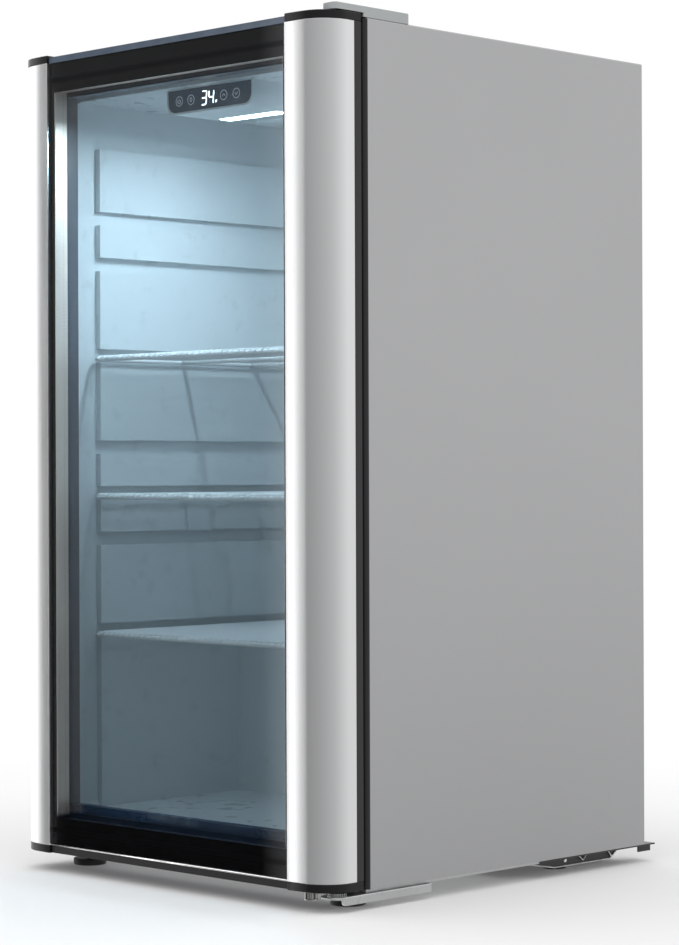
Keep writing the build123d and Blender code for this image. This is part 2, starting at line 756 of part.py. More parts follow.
with BuildPart() as bottom_hinge_bracket:
    plate_low = tray_bottom - bracket_thickness
    with BuildSketch(Plane.XY.offset(plate_low)) as plan:
        with BuildLine():
            Polyline((tongue_left, tongue_front), (half_width, tongue_front), (half_width, bracket_rear),
                     (bracket_left, bracket_rear), (bracket_left, tongue_start), (tongue_left, tongue_start),
                     close=True)
        make_face()
        fillet(plan.vertices().group_by(Axis.Y)[0], 9)
    extrude(amount=bracket_thickness)
    block(half_width - bracket_thickness, half_width, bracket_lip_front, bracket_rear,
          bracket_low, tray_bottom)
    lip_ends = bottom_hinge_bracket.edges().filter_by(Axis.X).group_by(Axis.Z)[0]
    fillet(lip_ends.sort_by(Axis.Y)[0], bracket_lip_round)
    fillet(bottom_hinge_bracket.edges().filter_by(Axis.Y).group_by(Axis.X)[-1].sort_by(Axis.Z)[-1], 1.5)
    with Locations((foot_x, foot_y, plate_low)):
        Cylinder(stud_radius + 2, 10, mode=Mode.SUBTRACT)
    with Locations([(bracket_screw_x, y, plate_low) for y in bracket_screws]):
        Cylinder(screw_radius + screw_gap, 10, mode=Mode.SUBTRACT)
    with Locations((hinge_x, hinge_y, plate_low)):
        Cylinder(pin_radius, 10, mode=Mode.SUBTRACT)
save(bottom_hinge_bracket, "bottom_hinge_bracket")

with BuildPart() as bottom_hinge_pin:
    with Locations((hinge_x, hinge_y, (plate_low + cap_low + 10) / 2)):
        Cylinder(pin_radius, cap_low + 10 - plate_low)
save(bottom_hinge_pin, "bottom_hinge_pin")

with BuildPart() as hinge_washers:
    for level, radius in ((0, 9.8), (1, 9.4)):
        with Locations((hinge_x, hinge_y, tray_bottom + (level + 0.5) * washer_thickness)):
            Cylinder(radius, washer_thickness)
            Cylinder(pin_radius, washer_thickness, mode=Mode.SUBTRACT)
save(hinge_washers, "hinge_washers")

with BuildPart() as bottom_hinge_screws:
    for y in bracket_screws:
        with Locations((bracket_screw_x, y, plate_low + bracket_thickness / 2)):
            Cylinder(screw_radius, bracket_thickness)
        with Locations((bracket_screw_x, y, plate_low - screw_head_height / 2)):
            Cylinder(screw_head_radius, screw_head_height)
save(bottom_hinge_screws, "bottom_hinge_screws")

with BuildPart() as top_hinge_plate:
    block(190, 219, -186, plate_rear, cabinet_top, cabinet_top + arm_thickness)
    block(arm_left, arm_right, -187, arm_foot, cabinet_top, arm_low + arm_thickness)
    block(arm_left, arm_right, hinge_y - 5.2, arm_foot, arm_low, arm_low + arm_thickness)
    with Locations([(hinge_screw_x, y, cabinet_top) for y in hinge_screws]):
        Cylinder(screw_radius + screw_gap, 10, mode=Mode.SUBTRACT)
    with Locations((hinge_x, hinge_y, arm_low)):
        Cylinder(pin_radius, 10, mode=Mode.SUBTRACT)
save(top_hinge_plate, "top_hinge_plate")

with BuildPart() as top_hinge_pin:
    pin_low = cap_high - 10
    with Locations((hinge_x, hinge_y, (pin_low + arm_low + arm_thickness) / 2)):
        Cylinder(pin_radius, arm_low + arm_thickness - pin_low)
save(top_hinge_pin, "top_hinge_pin")

with BuildPart() as top_hinge_screws:
    for y in hinge_screws:
        with Locations((hinge_screw_x, y, cabinet_top + arm_thickness / 2)):
            Cylinder(screw_radius, arm_thickness)
        with Locations((hinge_screw_x, y, cabinet_top + arm_thickness + screw_head_height / 2)):
            Cylinder(screw_head_radius, screw_head_height)
save(top_hinge_screws, "top_hinge_screws")


def hinge_cover_plan(inset):
    """Plan outline of the hinge cover: wide on the cabinet, narrow over the door."""
    right = half_width - 0.3 - inset
    nose = hinge_cover_nose + inset
    left = hinge_cover_left + inset
    front = hinge_cover_front + inset
    rear = hinge_cover_rear - inset
    Polyline((right, rear), (right, front), (nose, front), (nose, -206), (left, -184), (left, rear),
             close=True)


with BuildPart() as top_hinge_cover:
    with BuildSketch(Plane.XY.offset(cabinet_top)) as plan:
        with BuildLine():
            hinge_cover_plan(0)
        make_face()
        fillet(plan.vertices(), 5)
    extrude(amount=height - cabinet_top)
    fillet(top_hinge_cover.faces().sort_by(Axis.Z)[-1].edges(), 0.8)
    with BuildSketch(Plane.XY.offset(cabinet_top - 1)) as plan:
        with BuildLine():
            hinge_cover_plan(cover_wall)
        make_face()
        fillet(plan.vertices(), 3.5)
    extrude(amount=height - cabinet_top + 1 - 2, mode=Mode.SUBTRACT)
    block(150, 250, -260, cabinet_front + 0.6, cabinet_top - 1, hinge_cover_low, mode=Mode.SUBTRACT)
save(top_hinge_cover, "top_hinge_cover")


# ---------------------------------------------------------------- feet

for side, name in ((-1, "front_left_foot"), (1, "front_right_foot")):
    with BuildPart() as foot:
        with Locations((side * foot_x, foot_y, foot_height / 2)):
            Cylinder(foot_radius, foot_height)
        fillet(foot.edges(), 1.2)
        with Locations((side * foot_x, foot_y, (foot_height + stud_top) / 2)):
            Cylinder(stud_radius, stud_top - foot_height)
    save(foot, name)

with BuildPart() as foot_nuts:
    for side in (-1, 1):
        with BuildSketch(Plane((side * foot_x, foot_y, tray_bottom + tray_sheet))):
            RegularPolygon(6.6, 6)
            Circle(stud_radius + stud_gap, mode=Mode.SUBTRACT)
        extrude(amount=8)
save(foot_nuts, "foot_nuts")

with BuildPart() as rear_feet:
    for side in (-1, 1):
        with Locations((side * rear_foot_x, rear_foot_y, pan_bottom / 2)):
            Cylinder(12, pan_bottom)
            Cylinder(2.6, pan_bottom, mode=Mode.SUBTRACT)
save(rear_feet, "rear_feet")

with BuildPart() as rear_foot_bolts:
    for side in (-1, 1):
        with Locations((side * rear_foot_x, rear_foot_y, (1 + pan_floor) / 2)):
            Cylinder(2.5, pan_floor - 1)
        with Locations((side * rear_foot_x, rear_foot_y, pan_floor + 1.6)):
            Cylinder(5, 3.2)
save(rear_foot_bolts, "rear_foot_bolts")
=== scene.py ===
import math

import bmesh
import bpy
from mathutils import Matrix, Vector


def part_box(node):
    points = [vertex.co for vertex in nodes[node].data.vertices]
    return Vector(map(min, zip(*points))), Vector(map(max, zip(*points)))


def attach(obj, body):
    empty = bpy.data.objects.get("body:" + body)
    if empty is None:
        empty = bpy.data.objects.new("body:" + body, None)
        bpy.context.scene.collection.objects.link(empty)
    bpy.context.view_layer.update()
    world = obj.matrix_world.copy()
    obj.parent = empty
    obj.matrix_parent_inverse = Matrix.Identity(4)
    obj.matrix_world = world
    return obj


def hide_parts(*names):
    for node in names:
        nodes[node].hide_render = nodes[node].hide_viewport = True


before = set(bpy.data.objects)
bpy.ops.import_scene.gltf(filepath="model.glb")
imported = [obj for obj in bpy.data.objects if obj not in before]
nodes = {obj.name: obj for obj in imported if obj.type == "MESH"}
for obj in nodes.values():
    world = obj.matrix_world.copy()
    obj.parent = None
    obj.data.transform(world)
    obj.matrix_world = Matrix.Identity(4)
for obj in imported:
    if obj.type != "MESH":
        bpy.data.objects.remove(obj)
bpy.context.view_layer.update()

scene = bpy.context.scene
mm = 0.001
WHITE = (1.0, 1.0, 1.0)
BLACK = (0.008, 0.0085, 0.0095)
NAVY = (0.010, 0.036, 0.085)


# ------------------------------------------------------------------ camera

CAMERA_PLACE = (1.9181, -1.9341, 0.4030)
CAMERA_TURN, CAMERA_PITCH, CAMERA_ROLL = 44.709, -0.040, -0.201
CAMERA_LENS, CAMERA_SENSOR = 101.187, 36


def make_camera():
    """A long lens at table height, off the front right corner of the cooler."""
    turn, pitch, roll = (math.radians(angle) for angle in (CAMERA_TURN, CAMERA_PITCH, CAMERA_ROLL))
    forward = Vector((-math.sin(turn) * math.cos(pitch), math.cos(turn) * math.cos(pitch), math.sin(pitch)))
    level = Vector((math.cos(turn), math.sin(turn), 0))
    above = level.cross(forward)
    right = math.cos(roll) * level + math.sin(roll) * above
    up = -math.sin(roll) * level + math.cos(roll) * above
    data = bpy.data.cameras.new("camera")
    data.lens = CAMERA_LENS
    data.sensor_width = CAMERA_SENSOR
    data.clip_start = 0.1
    camera = bpy.data.objects.new("camera", data)
    camera.matrix_world = Matrix.Translation(CAMERA_PLACE) @ Matrix(
        (right, up, -forward)).transposed().to_4x4()
    scene.collection.objects.link(camera)
    scene.camera = camera


make_camera()
scene.view_settings.view_transform = "Standard"
scene.view_settings.look = "None"


# ------------------------------------------------------------------ materials

# Most noise values lie between these two.
NOISE_RANGE = (0.3, 0.7)
# A band's edge fades over this much on either side, and speckles show where the noise is above these.
BAND_BLUR = 0.4 * mm
SPECKLE_FROM, SPECKLE_FULL = 0.58, 0.66
# Places of a colour mix node's two colour inputs and of its colour output.
MIX_FIRST, MIX_SECOND, MIX_RESULT = 6, 7, 2


class Nodes:
    """A short way to write a node tree: add a node, set its inputs, link it."""

    def __init__(self, tree):
        self.tree = tree
        tree.nodes.clear()

    def add(self, kind, **values):
        """A new node of that kind, its properties set by name."""
        node = self.tree.nodes.new(kind)
        for key, value in values.items():
            setattr(node, key, value)
        return node

    def link(self, source, target):
        """Join an output to an input."""
        self.tree.links.new(source, target)

    def noise(self, where, scale, stretch=WHITE, detail=3.0):
        """Noise in the object's own metres: scale is features per metre."""
        mapping = self.add("ShaderNodeMapping")
        mapping.inputs["Scale"].default_value = stretch
        self.link(where, mapping.inputs["Vector"])
        noise = self.add("ShaderNodeTexNoise")
        noise.inputs["Scale"].default_value = scale
        noise.inputs["Detail"].default_value = detail
        self.link(mapping.outputs["Vector"], noise.inputs["Vector"])
        return noise.outputs["Fac"]

    def spread(self, source, low, high):
        """Noise values brought to the range low to high."""
        change = self.add("ShaderNodeMapRange")
        change.inputs["From Min"].default_value, change.inputs["From Max"].default_value = NOISE_RANGE
        change.inputs["To Min"].default_value = low
        change.inputs["To Max"].default_value = high
        self.link(source, change.inputs["Value"])
        return change.outputs["Result"]

    def beyond(self, where, direction, start, end, both_sides=False):
        """A smooth change from 0 to 1 between two distances along a direction."""
        if both_sides:
            mirrored = self.add("ShaderNodeVectorMath", operation="ABSOLUTE")
            self.link(where, mirrored.inputs[0])
            where = mirrored.outputs["Vector"]
        along = self.add("ShaderNodeVectorMath", operation="DOT_PRODUCT")
        along.inputs[1].default_value = direction
        self.link(where, along.inputs[0])
        change = self.add("ShaderNodeMapRange", interpolation_type="SMOOTHSTEP")
        change.inputs["From Min"].default_value = start
        change.inputs["From Max"].default_value = end
        self.link(along.outputs["Value"], change.inputs["Value"])
        return change.outputs["Result"]

    def mix(self, factor, first, second):
        """A colour between two, chosen by factor. Each may be a colour or a socket."""
        mix = self.add("ShaderNodeMix", data_type="RGBA")
        self.link(factor, mix.inputs["Factor"])
        for place, colour in ((MIX_FIRST, first), (MIX_SECOND, second)):
            if isinstance(colour, tuple):
                mix.inputs[place].default_value = (*colour, 1)
            else:
                self.link(colour, mix.inputs[place])
        return mix.outputs[MIX_RESULT]


def new_material(name):
    """An empty node material and its tree writer."""
    material = bpy.data.materials.new(name)
    material.use_nodes = True
    return material, Nodes(material.node_tree)


def surface(name, colour, rough, metal=0.0, tone=0.05, tone_scale=6, grain=WHITE, gloss_scale=60,
            gloss=0.05, relief_scale=900, relief=0.03, relief_depth=0.0001, coat=0.0, level=0.5,
            speckle=None, speckle_scale=400, band=None, foot_colour_and_shade=None):
    """A finish with slow changes of tone, uneven gloss and a fine relief.

    Scales are features per metre. grain stretches the gloss and relief along an axis, as in a brushed
    metal. speckle is a second colour scattered over the first. band is a colour, a direction, how far out
    along it the colour starts, and whether it does so on both sides. foot_colour_and_shade is a colour for
    the foot and the two heights between which it gives way; on the door it is the part's own colour, on
    the cabinet a painted shade that darkens the lower sides.
    """
    material, tree = new_material(name)
    where = tree.add("ShaderNodeTexCoord").outputs["Object"]
    shader = tree.add("ShaderNodeBsdfPrincipled")
    dark = tuple(max(c * (1 - tone), 0) for c in colour)
    light = tuple(min(c * (1 + tone), 1) for c in colour)
    slow = tree.spread(tree.noise(where, tone_scale, grain, 4), 0, 1)
    tint = tree.mix(slow, dark, light)
    if speckle:
        spots = tree.noise(where, speckle_scale, grain, 2)
        edge = tree.add("ShaderNodeMapRange")
        edge.inputs["From Min"].default_value = SPECKLE_FROM
        edge.inputs["From Max"].default_value = SPECKLE_FULL
        tree.link(spots, edge.inputs["Value"])
        tint = tree.mix(edge.outputs["Result"], tint, speckle)
    # On the cabinet the foot colour is a painted shade: darker towards the floor, where less light falls.
    if foot_colour_and_shade:
        foot_colour, foot_low, foot_high = foot_colour_and_shade
        tint = tree.mix(tree.beyond(where, (0, 0, 1), foot_low, foot_high), foot_colour, tint)
    if band:
        band_colour, direction, limit, both_sides = band
        out_there = tree.beyond(where, direction, limit - BAND_BLUR, limit + BAND_BLUR, both_sides)
        tint = tree.mix(out_there, tint, band_colour)
    tree.link(tint, shader.inputs["Base Color"])
    uneven = tree.spread(tree.noise(where, gloss_scale, grain, 3), max(rough - gloss, 0.01), rough + gloss)
    tree.link(uneven, shader.inputs["Roughness"])
    bump = tree.add("ShaderNodeBump")
    bump.inputs["Strength"].default_value = relief
    bump.inputs["Distance"].default_value = relief_depth
    tree.link(tree.noise(where, relief_scale, grain, 3), bump.inputs["Height"])
    tree.link(bump.outputs["Normal"], shader.inputs["Normal"])
    shader.inputs["Metallic"].default_value = metal
    shader.inputs["Specular IOR Level"].default_value = level
    shader.inputs["Coat Weight"].default_value = coat
    out = tree.add("ShaderNodeOutputMaterial")
    tree.link(shader.outputs["BSDF"], out.inputs["Surface"])
    return material


def clear_glass(name, colour):
    """Clear float glass that lets lamp light through without a hard shadow."""
    material, tree = new_material(name)
    where = tree.add("ShaderNodeTexCoord").outputs["Object"]
    glass = tree.add("ShaderNodeBsdfPrincipled")
    glass.inputs["Transmission Weight"].default_value = 1
    glass.inputs["IOR"].default_value = 1.5
    film = tree.spread(tree.noise(where, 5, WHITE, 3), 0.0, 0.012)
    tree.link(film, glass.inputs["Roughness"])
    pale = tuple(min(c * 1.01, 1) for c in colour)
    tree.link(tree.mix(tree.noise(where, 3), colour, pale), glass.inputs["Base Color"])
    through = tree.add("ShaderNodeBsdfTransparent")
    through.inputs["Color"].default_value = (*colour, 1)
    path = tree.add("ShaderNodeLightPath")
    mix = tree.add("ShaderNodeMixShader")
    tree.link(path.outputs["Is Shadow Ray"], mix.inputs["Fac"])
    tree.link(glass.outputs["BSDF"], mix.inputs[1])
    tree.link(through.outputs["BSDF"], mix.inputs[2])
    out = tree.add("ShaderNodeOutputMaterial")
    tree.link(mix.outputs["Shader"], out.inputs["Surface"])
    return material


def glowing(name, colour, strength, cell=400):
    """A lit plastic, a little brighter in places, as a diffuser is."""
    material, tree = new_material(name)
    where = tree.add("ShaderNodeTexCoord").outputs["Object"]
    shader = tree.add("ShaderNodeBsdfPrincipled")
    shader.inputs["Roughness"].default_value = 0.4
    shader.inputs["Emission Strength"].default_value = strength
    dim = tuple(c * 0.86 for c in colour)
    tint = tree.mix(tree.spread(tree.noise(where, cell), 0, 1), dim, colour)
    tree.link(tint, shader.inputs["Base Color"])
    tree.link(tint, shader.inputs["Emission Color"])
    out = tree.add("ShaderNodeOutputMaterial")
    tree.link(shader.outputs["BSDF"], out.inputs["Surface"])
    return material


# In front of this line the cabinet is black.
front_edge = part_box("outer_shell")[0].y + 5.4 * mm
# Below this height the spacer and the door's inner frame are navy.
NAVY_TOP = 60 * mm

finish = {
    # Towards its foot the grey enamel turns darker: a painted shade for the lower sides, which take less
    # light.
    "cabinet_paint": surface("grey_enamel", (0.385, 0.388, 0.392), 0.40, tone=0.015, tone_scale=4,
                             gloss=0.03, relief_scale=520, relief=0.10, relief_depth=0.0001,
                             band=(BLACK, (0, -1, 0), -front_edge, False),
                             foot_colour_and_shade=((0.335, 0.338, 0.342), 0.02, 0.55)),
    "black_paint": surface("black_enamel", (0.012, 0.012, 0.013), 0.34, tone=0.3, relief=0.1, gloss=0.04),
    "zinc_plate": surface("zinc_plated_steel", (0.50, 0.51, 0.51), 0.40, metal=1.0, tone=0.05, tone_scale=22,
                          gloss=0.06, gloss_scale=120, relief=0.08, speckle=(0.45, 0.465, 0.47),
                          speckle_scale=160),
    "liner_plastic": surface("liner_polystyrene", (0.71, 0.74, 0.76), 0.30, tone=0.015, tone_scale=8,
                             relief_scale=180, relief=0.03, relief_depth=0.0001, gloss=0.04),
    "foam": surface("polyurethane_foam", (0.62, 0.50, 0.24), 0.85, tone=0.2, tone_scale=40, relief=0.6,
                    relief_scale=500, relief_depth=0.0006),
    "rubber_black": surface("black_rubber", (0.008, 0.008, 0.009), 0.62, tone=0.25, tone_scale=60,
                            relief=0.15, relief_scale=1500, gloss=0.1, level=0.35),
    "fastener_steel": surface("plated_screw_steel", (0.70, 0.70, 0.68), 0.26, metal=1.0, tone=0.1,
                              tone_scale=120, relief=0.1, relief_scale=2500),
    "copper_tube": surface("drawn_copper", (0.72, 0.34, 0.20), 0.3, metal=1.0, tone=0.18, tone_scale=30,
                           gloss=0.1, speckle=(0.36, 0.16, 0.10), speckle_scale=120, relief=0.08),
    "aluminium_plate": surface("bare_aluminium", (0.78, 0.79, 0.80), 0.36, metal=1.0, tone=0.05,
                               grain=(1, 1, 0.05), relief=0.15, relief_scale=1500),
    "profile_aluminium": surface("satin_anodised_aluminium", (0.80, 0.81, 0.815), 0.20, metal=1.0, tone=0.01,
                                 tone_scale=5, grain=(1, 1, 0.02), gloss_scale=500, gloss=0.02,
                                 relief_scale=2600, relief=0.015, relief_depth=0.00002),
    "black_plastic": surface("black_moulded_plastic", BLACK, 0.36, tone=0.15, tone_scale=30, relief=0.06,
                             relief_scale=1100, relief_depth=0.00008, gloss=0.05, level=0.3),
    "white_plastic": surface("white_moulded_plastic", (0.76, 0.78, 0.79), 0.34, tone=0.02, relief=0.06,
                             relief_scale=900, gloss=0.05),
    "white_wire": surface("white_powder_coat", (0.86, 0.87, 0.88), 0.33, tone=0.02, tone_scale=40,
                          relief=0.15, relief_scale=1100, relief_depth=0.00012, gloss=0.06),
    "panel_plastic": surface("smoked_gloss_panel", (0.075, 0.102, 0.145), 0.16, tone=0.10, tone_scale=60,
                             relief=0.02, gloss=0.03, coat=0.3),
    "board_green": surface("circuit_board", (0.02, 0.16, 0.06), 0.4, tone=0.2, tone_scale=200, relief=0.2,
                           speckle=(0.25, 0.36, 0.2), speckle_scale=600),
    "lens_plastic": glowing("lamp_lens", (0.80, 0.94, 1.0), 20.0),
    "clear_glass": clear_glass("float_glass", (0.90, 0.945, 0.965)),
    "hinge_cover_plastic": surface("grey_moulded_plastic", (0.365, 0.382, 0.386), 0.42, tone=0.03,
                                   relief=0.15, relief_scale=900, relief_depth=0.0001, gloss=0.05),
    "chrome_stud": surface("bright_chrome", (0.36, 0.37, 0.35), 0.12, metal=1.0, tone=0.04, tone_scale=200,
                           relief=0.03, gloss=0.04),
    "bush_plastic": surface("natural_nylon", (0.74, 0.73, 0.68), 0.46, tone=0.05, tone_scale=90, relief=0.15),
}
frit = surface("black_glass_print", (0.003, 0.003, 0.0035), 0.6, tone=0.2, tone_scale=40, relief=0.03,
               relief_scale=2200, level=0.0)
spacer_metal = surface("spacer_aluminium", (0.88, 0.75, 0.67), 0.42, metal=1.0, tone=0.06, grain=(1, 1, 0.04),
                       relief=0.08, relief_scale=1600, foot_colour_and_shade=(NAVY, NAVY_TOP - 5 * mm, NAVY_TOP))
spacer_hole = surface("spacer_hole_shade", (0.16, 0.15, 0.14), 0.7, tone=0.2, tone_scale=300)
frame_plastic = surface("dark_blue_grey_plastic", (0.055, 0.072, 0.100), 0.40, tone=0.08, tone_scale=20,
                        relief=0.06, relief_scale=900, gloss=0.05, band=(BLACK, (1, 0, 0), 200 * mm, True),
                        foot_colour_and_shade=(NAVY, NAVY_TOP - 1.5 * mm, NAVY_TOP))
navy_plastic = surface("navy_plastic", NAVY, 0.25, tone=0.10, tone_scale=20, relief=0.04)
cap_plastic = surface("glossy_cap_plastic", (0.004, 0.004, 0.005), 0.20, tone=0.12, tone_scale=30,
                      relief=0.03, level=0.35, gloss=0.03)
washer_steel = surface("washer_steel", (0.30, 0.32, 0.31), 0.24, metal=1.0, tone=0.10, tone_scale=200,
                       relief=0.05)
# Pale finish for the pan's folded edges, brighter than bare steel: a painted highlight. The spring clips
# share it, pale in their own right.
pan_clip_and_edge_highlight = surface("pan_clip_and_painted_edge_highlight", (0.80, 0.80, 0.80), 0.3, metal=0.2, tone=0.2, tone_scale=120, relief=0.1)
polished_edge = surface("polished_edge_bead", (0.97, 0.97, 0.96), 0.14, metal=1.0, tone=0.02, relief=0.01)
digit_light = glowing("display_light", (0.92, 0.97, 1.0), 3.2, 2000)
icon_light = glowing("touch_mark_light", (0.55, 0.62, 0.68), 0.35, 2000)


def dress_nodes():
    """Give each CAD node the finish of its record slot."""
    for name, node in nodes.items():
        slot_name = node.material_slots[0].material.name.split(".")[0]
        for place in node.material_slots:
            place.material = finish[slot_name]
    for place in nodes["door_inner_frame"].material_slots:
        place.material = frame_plastic


def ease_edges(name, width, segments=2):
    """Round the sharp edges of a CAD node, whose faces are first joined along their edges."""
    thing = nodes[name]
    weld = thing.modifiers.new("joined_faces", "WELD")
    weld.merge_threshold = 0.01 * mm
    bevel = thing.modifiers.new("soft_edges", "BEVEL")
    bevel.width = width
    bevel.segments = segments
    bevel.limit_method = "ANGLE"
    bevel.angle_limit = math.radians(40)
    thing.modifiers.new("even_shading", "WEIGHTED_NORMAL").keep_sharp = False


dress_nodes()
EASED = {"inner_liner": 1.4 * mm, "control_housing": 0.8 * mm, "control_panel": 0.3 * mm,
         "door_inner_frame": 0.5 * mm, "top_rail": 0.5 * mm, "bottom_rail": 0.5 * mm,
         "bottom_hinge_bracket": 0.6 * mm, "compressor_base": 0.6 * mm}
for eased, round_width in EASED.items():
    ease_edges(eased, round_width)


# ------------------------------------------------------------------ building helpers

def piece(name, points, faces, material, body, smooth=False, replaces=()):
    """A mesh piece that rides on a body."""
    mesh = bpy.data.meshes.new(name)
    mesh.from_pydata([tuple(p) for p in points], [], faces)
    shape = bmesh.new()
    shape.from_mesh(mesh)
    bmesh.ops.recalc_face_normals(shape, faces=shape.faces)
    shape.to_mesh(mesh)
    shape.free()
    return dress(bpy.data.objects.new(name, mesh), material, body, smooth, replaces)


def dress(thing, material, body, smooth=False, replaces=()):
    """Link an object, give it its finish and its body."""
    scene.collection.objects.link(thing)
    thing.data.materials.append(material)
    if smooth:
        for face in thing.data.polygons:
            face.use_smooth = True
    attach(thing, body)
    if replaces:
        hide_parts(*replaces)
    return thing


def soften(thing, width, segments=2, angle=35):
    """Round the sharp edges of a piece."""
    bevel = thing.modifiers.new("soft_edges", "BEVEL")
    bevel.width = width
    bevel.segments = segments
    bevel.limit_method = "ANGLE"
    bevel.angle_limit = math.radians(angle)
    bevel.harden_normals = True
    for face in thing.data.polygons:
        face.use_smooth = True
    return thing


def prism(outline, low, high, place):
    """Points and faces of a prism: the outline's (u, v) and a depth w are turned into a point by place."""
    count = len(outline)
    points = [place(u, v, low) for u, v in outline] + [place(u, v, high) for u, v in outline]
    faces = [tuple(range(count)), tuple(range(2 * count - 1, count - 1, -1))]
    faces += [(i, (i + 1) % count, (i + 1) % count + count, i + count) for i in range(count)]
    return points, faces


def gather(parts):
    """Several (points, faces) pairs as one."""
    points, faces = [], []
    for some_points, some_faces in parts:
        start = len(points)
        points += some_points
        faces += [tuple(i + start for i in face) for face in some_faces]
    return points, faces


def upright(u, v, w):
    """A drawing in the X Z plane, its depth along Y."""
    return (u, w, v)


def plan(u, v, w):
    """A drawing in the X Y plane, its depth along Z."""
    return (u, v, w)


def sideways(u, v, w):
    """A drawing in the Y Z plane, its depth along X."""
    return (w, u, v)


def arc(x, y, radius, start, end, steps):
    """Points on an arc, angles in degrees."""
    turns = [math.radians(start + (end - start) * i / steps) for i in range(steps + 1)]
    return [(x + radius * math.cos(t), y + radius * math.sin(t)) for t in turns]


def loop_strip(outer, inner, low, high, place):
    """A closed band between two outlines of equal length, with thickness."""
    count = len(outer)
    rings = [(outer, low), (inner, low), (inner, high), (outer, high)]
    points = [place(u, v, w) for outline, w in rings for u, v in outline]
    faces = []
    for ring in range(4):
        for i in range(count):
            j = (i + 1) % count
            a, b = ring * count, (ring + 1) % 4 * count
            faces.append((a + i, a + j, b + j, b + i))
    return points, faces


def rectangle(x_low, x_high, z_low, z_high, radius=0.0, steps=6):
    """A rectangle with rounded corners, anticlockwise."""
    if radius == 0:
        return [(x_low, z_low), (x_high, z_low), (x_high, z_high), (x_low, z_high)]
    return (arc(x_high - radius, z_low + radius, radius, -90, 0, steps)
            + arc(x_high - radius, z_high - radius, radius, 0, 90, steps)
            + arc(x_low + radius, z_high - radius, radius, 90, 180, steps)
            + arc(x_low + radius, z_low + radius, radius, 180, 270, steps))


def wires(name, paths, material, body, replaces=(), sides=3):
    """Round rods along paths of ((x, y, z), radius) points, as one mesh. A path is (points, closed)."""
    curve = bpy.data.curves.new(name, "CURVE")
    curve.dimensions = "3D"
    curve.bevel_depth = 1.0
    curve.bevel_resolution = sides
    curve.use_fill_caps = True
    for points, radius, closed in paths:
        spline = curve.splines.new("POLY")
        spline.points.add(len(points) - 1)
        for place, point in zip(spline.points, points):
            place.co = (*point, 1)
            place.radius = radius
        spline.use_cyclic_u = closed
    holder = bpy.data.objects.new(name + "_line", curve)
    scene.collection.objects.link(holder)
    graph = bpy.context.evaluated_depsgraph_get()
    mesh = bpy.data.meshes.new_from_object(holder.evaluated_get(graph))
    bpy.data.objects.remove(holder)
    mesh.materials.clear()
    return dress(bpy.data.objects.new(name, mesh), material, body, True, replaces)


# ------------------------------------------------------------------ door pieces

glass_low, glass_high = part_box("outer_glass")
spacer_low, spacer_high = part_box("spacer_frame")
profile_low, profile_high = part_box("right_profile")
bush_low, bush_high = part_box("upper_hinge_bush")
HINGE_X, HINGE_Y = (bush_low.x + bush_high.x) / 2, (bush_low.y + bush_high.y) / 2
BUSH_RADIUS = (bush_high.x - bush_low.x) / 2
# The clear window in the printed border: half its width, and its lower and upper edges.
PRINT_HALF, PRINT_LOW, PRINT_HIGH = 165.3 * mm, 55.0 * mm, 784.2 * mm
PRINT_INSET, PRINT_GAP, PRINT_THICK = 0.3 * mm, 0.08 * mm, 0.15 * mm
# The spacer bar's width, and its holes: radius, pitch, height of the mark, and how far back they lie.
BAR_WIDE, HOLE_RADIUS, HOLE_PITCH, HOLE_PROUD, HOLE_SHARE = 8 * mm, 0.45 * mm, 3.6 * mm, 0.06 * mm, 0.68
# The aluminium edge: where its nose starts, how far its face turns by then, and where its pocket starts.
NOSE_START, CROWN, POCKET = 195.5 * mm, math.radians(6), 181 * mm
PROFILE_WALL = 1.6 * mm


def make_frit():
    """The black printed border on the back of the outer pane."""
    outer = rectangle(glass_low.x + PRINT_INSET, glass_high.x - PRINT_INSET, glass_low.z + PRINT_INSET,
                      glass_high.z - PRINT_INSET)
    inner = rectangle(-PRINT_HALF, PRINT_HALF, PRINT_LOW, PRINT_HIGH)
    front = glass_high.y + PRINT_GAP
    points, faces = loop_strip(outer, inner, front, front + PRINT_THICK, upright)
    piece("glass_border", points, faces, frit, "door")


def make_spacer():
    """The perforated aluminium bar that holds the two panes apart."""
    x_in, z_low, z_high = spacer_high.x - BAR_WIDE, spacer_low.z + BAR_WIDE, spacer_high.z - BAR_WIDE
    outer = rectangle(spacer_low.x, spacer_high.x, spacer_low.z, spacer_high.z)
    inner = rectangle(spacer_low.x + BAR_WIDE, x_in, z_low, z_high)
    front, rear = spacer_low.y + 0.3 * mm, spacer_high.y
    points, faces = loop_strip(outer, inner, front, rear, upright)
    bar = piece("glazing_spacer", points, faces, spacer_metal, "door",
                replaces=["spacer_frame"])
    soften(bar, 0.5 * mm)
    dots = []
    y = front + (rear - front) * HOLE_SHARE
    for step in range(1, int((z_high - z_low) / HOLE_PITCH)):
        spot = arc(y, z_low + step * HOLE_PITCH, HOLE_RADIUS, 0, 315, 7)
        for side in (-1, 1):
            dots.append(prism(spot, side * x_in, side * (x_in - HOLE_PROUD), sideways))
    for step in range(1, int(2 * x_in / HOLE_PITCH)):
        spot = arc(step * HOLE_PITCH - x_in, y, HOLE_RADIUS, 0, 315, 7)
        for level, away in ((z_low, 1), (z_high, -1)):
            dots.append(prism(spot, level, level + away * HOLE_PROUD, plan))
    points, faces = gather(dots)
    piece("spacer_perforations", points, faces, spacer_hole, "door")


